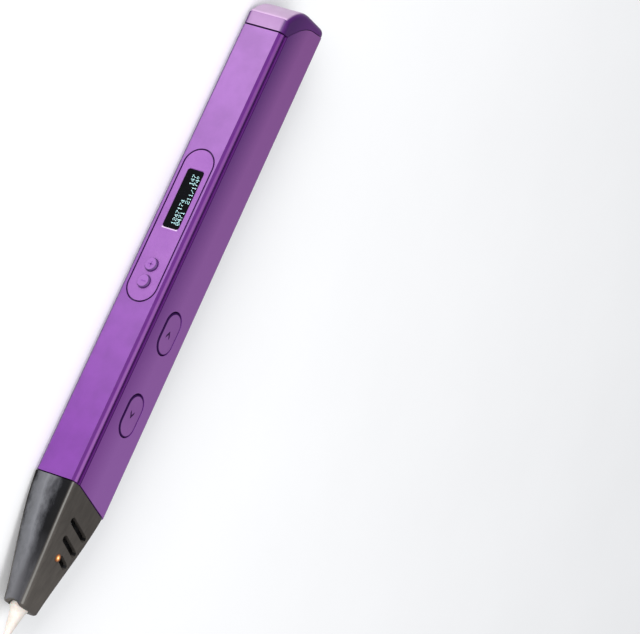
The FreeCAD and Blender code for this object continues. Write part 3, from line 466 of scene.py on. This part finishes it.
# Drawn marks start just off the surface that they lie on, and stand up by the thickness of the ink
OFF_SURFACE, INK, LIT_INK = 0.002 * MM, 0.010 * MM, 0.012 * MM
glass_low, glass_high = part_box("screen_glass")
figures = bmesh.new()
for line, text in enumerate(ROWS):
    for place, figure in enumerate(text):
        for down, bits in enumerate(DOTS[figure].split()):
            for across, bit in enumerate(bits):
                if bit == "0":
                    continue
                x = glass_high[0] - END_MARGIN - (place * DOTS_PER_FIGURE + across) * PITCH
                z = glass_low[2] + SIDE_MARGIN + line * ROW_PITCH + down * PITCH
                y = glass_low[1] - OFF_SURFACE
                prism(figures, [(x, y, z), (x, y, z + DOT), (x - DOT, y, z + DOT), (x - DOT, y, z)],
                      FRONT, LIT_INK)
bmesh.ops.recalc_face_normals(figures, faces=figures.faces)
piece("display_figures", figures, lit, "pen")


def chevron(mesh, centre, size, width, toward, across, normal, height):
    """An arrow head as two strokes that meet in a point along toward."""
    toward, across, centre = Vector(toward), Vector(across), Vector(centre)
    tip = toward * size * 0.5
    inner = tip - toward * width * 1.5
    for side in (1, -1):
        wing = -toward * size * 0.4 + across * side * size * 0.55
        back = wing - toward * width * 1.1
        prism(mesh, [centre + p for p in (tip, wing, back, inner)], normal, height)


def arrow_mark(name, node, body, toward):
    """An arrow head on a side button, which points to the nozzle for 1 and to the tail for -1."""
    low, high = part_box(node)
    mark = bmesh.new()
    centre = ((low[0] + high[0]) / 2, (low[1] + high[1]) / 2, high[2] + OFF_SURFACE)
    chevron(mark, centre, size=1.6 * MM, width=0.70 * MM, toward=(toward, 0, 0), across=(0, 1, 0),
            normal=SIDE, height=INK)
    bmesh.ops.recalc_face_normals(mark, faces=mark.faces)
    return piece(name, mark, mark_purple, body)


arrow_mark("feed_arrow", "feed_button", "feed_key", 1)
arrow_mark("retract_arrow", "retract_button", "retract_key", -1)


def key_symbol(name, node, body, upright):
    """A plus or a minus on a round key."""
    low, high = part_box(node)
    x, z, y = (low[0] + high[0]) / 2, (low[2] + high[2]) / 2, low[1] - OFF_SURFACE
    symbol = bmesh.new()
    long, wide = 0.75 * MM, 0.17 * MM
    bars = [(long, wide), (wide, long)] if upright else [(wide, long)]
    for reach_x, reach_z in bars:
        prism(symbol, [(x - reach_x, y, z - reach_z), (x + reach_x, y, z - reach_z),
                       (x + reach_x, y, z + reach_z), (x - reach_x, y, z + reach_z)], FRONT, INK)
    bmesh.ops.recalc_face_normals(symbol, faces=symbol.faces)
    return piece(name, symbol, symbol_purple, body)


key_symbol("plus_symbol", "key_up", "up_key", True)
key_symbol("minus_symbol", "key_down", "down_key", False)


# ---------------------------------------------------------------- floor, light and camera

ground = Shader("floor", Roughness=0.7)
ground.colour(ground.ramp(ground.noise(60 * MM, 4), (0.3, (0.88, 0.88, 0.885)), (0.7, (0.90, 0.90, 0.905))))
ground.relief(ground.noise(1.5 * MM, 3), 0.01 * MM)
plane = bmesh.new()
bmesh.ops.create_grid(plane, x_segments=2, y_segments=2, size=3.0)
floor_data = bpy.data.meshes.new("floor")
plane.to_mesh(floor_data)
plane.free()
floor_data.materials.append(ground.material)
floor = bpy.data.objects.new("floor", floor_data)
# A hair below the pen, so that no two faces share one plane
floor.location.z = -0.02 * MM
bpy.context.scene.collection.objects.link(floor)

world = bpy.data.worlds.new("studio")
world.use_nodes = True
bpy.context.scene.world = world
background = world.node_tree.nodes["Background"].inputs
background["Color"].default_value = (0.95, 0.97, 1.0, 1)
background["Strength"].default_value = 0.48


def softbox(name, place, aim, size, power):
    data = bpy.data.lights.new(name, "AREA")
    data.shape = "RECTANGLE"
    data.size, data.size_y = size
    data.energy = power
    made = bpy.data.objects.new(name, data)
    made.location = place
    made.rotation_euler = (Vector(aim) - Vector(place)).to_track_quat("-Z", "Y").to_euler()
    bpy.context.scene.collection.objects.link(made)


# The key light stands in front of the display face; the others bring out the tail, the cone and the button side
softbox("key_light", (-0.15, -0.85, 0.34), (0, 0, 0), (0.7, 0.35), 8.0)
softbox("tail_light", (-0.26, -0.20, 0.05), (-0.07, -0.01, 0.006), (0.10, 0.10), 0.16)
softbox("nozzle_light", (0.6, -0.35, 0.25), (0.06, 0, 0), (0.3, 0.3), 0.6)
softbox("top_light", (0.3, -0.1, 0.9), (0, 0, 0), (0.7, 0.7), 4.4)

# The camera looks at the pen a little from the nozzle's end, over the edge between the display and the buttons.
# TURN is how far round the pen it stands from the display face, DIP how far toward the nozzle, and ROLL how far
# the pen leans in the picture.
TURN, DIP, ROLL = math.radians(34.0), math.radians(11.892), math.radians(24.866)
DISTANCE, LENS, SENSOR = 1.4743, 321.47, 36.0
ASIDE = Vector((-0.024322, 0.010744, -1.0))  # the pen lies left of the picture's middle, and a little above
to_camera = Vector((math.sin(DIP), -math.cos(DIP) * math.cos(TURN), math.cos(DIP) * math.sin(TURN)))
along = Vector((-math.cos(DIP), -math.sin(DIP) * math.cos(TURN), math.sin(DIP) * math.sin(TURN)))
across = Vector((0, math.sin(TURN), math.cos(TURN)))
right = math.cos(ROLL) * across + math.sin(ROLL) * along
up = math.cos(ROLL) * along - math.sin(ROLL) * across
target = Vector((-18.88, 0.55, MID_Z)) * MM
turned = ASIDE.normalized().rotation_difference(Vector((0, 0, -1))).to_matrix()
data = bpy.data.cameras.new("camera")
data.sensor_width = SENSOR
data.lens = LENS
data.clip_start, data.clip_end = 0.1, 20.0
camera = bpy.data.objects.new("camera", data)
facing_pen = Matrix((right, up, to_camera)).transposed()
camera.matrix_world = Matrix.Translation(target + to_camera * DISTANCE) @ (facing_pen @ turned).to_4x4()
bpy.context.scene.collection.objects.link(camera)
bpy.context.scene.camera = camera
bpy.context.scene.view_settings.view_transform = "Standard"
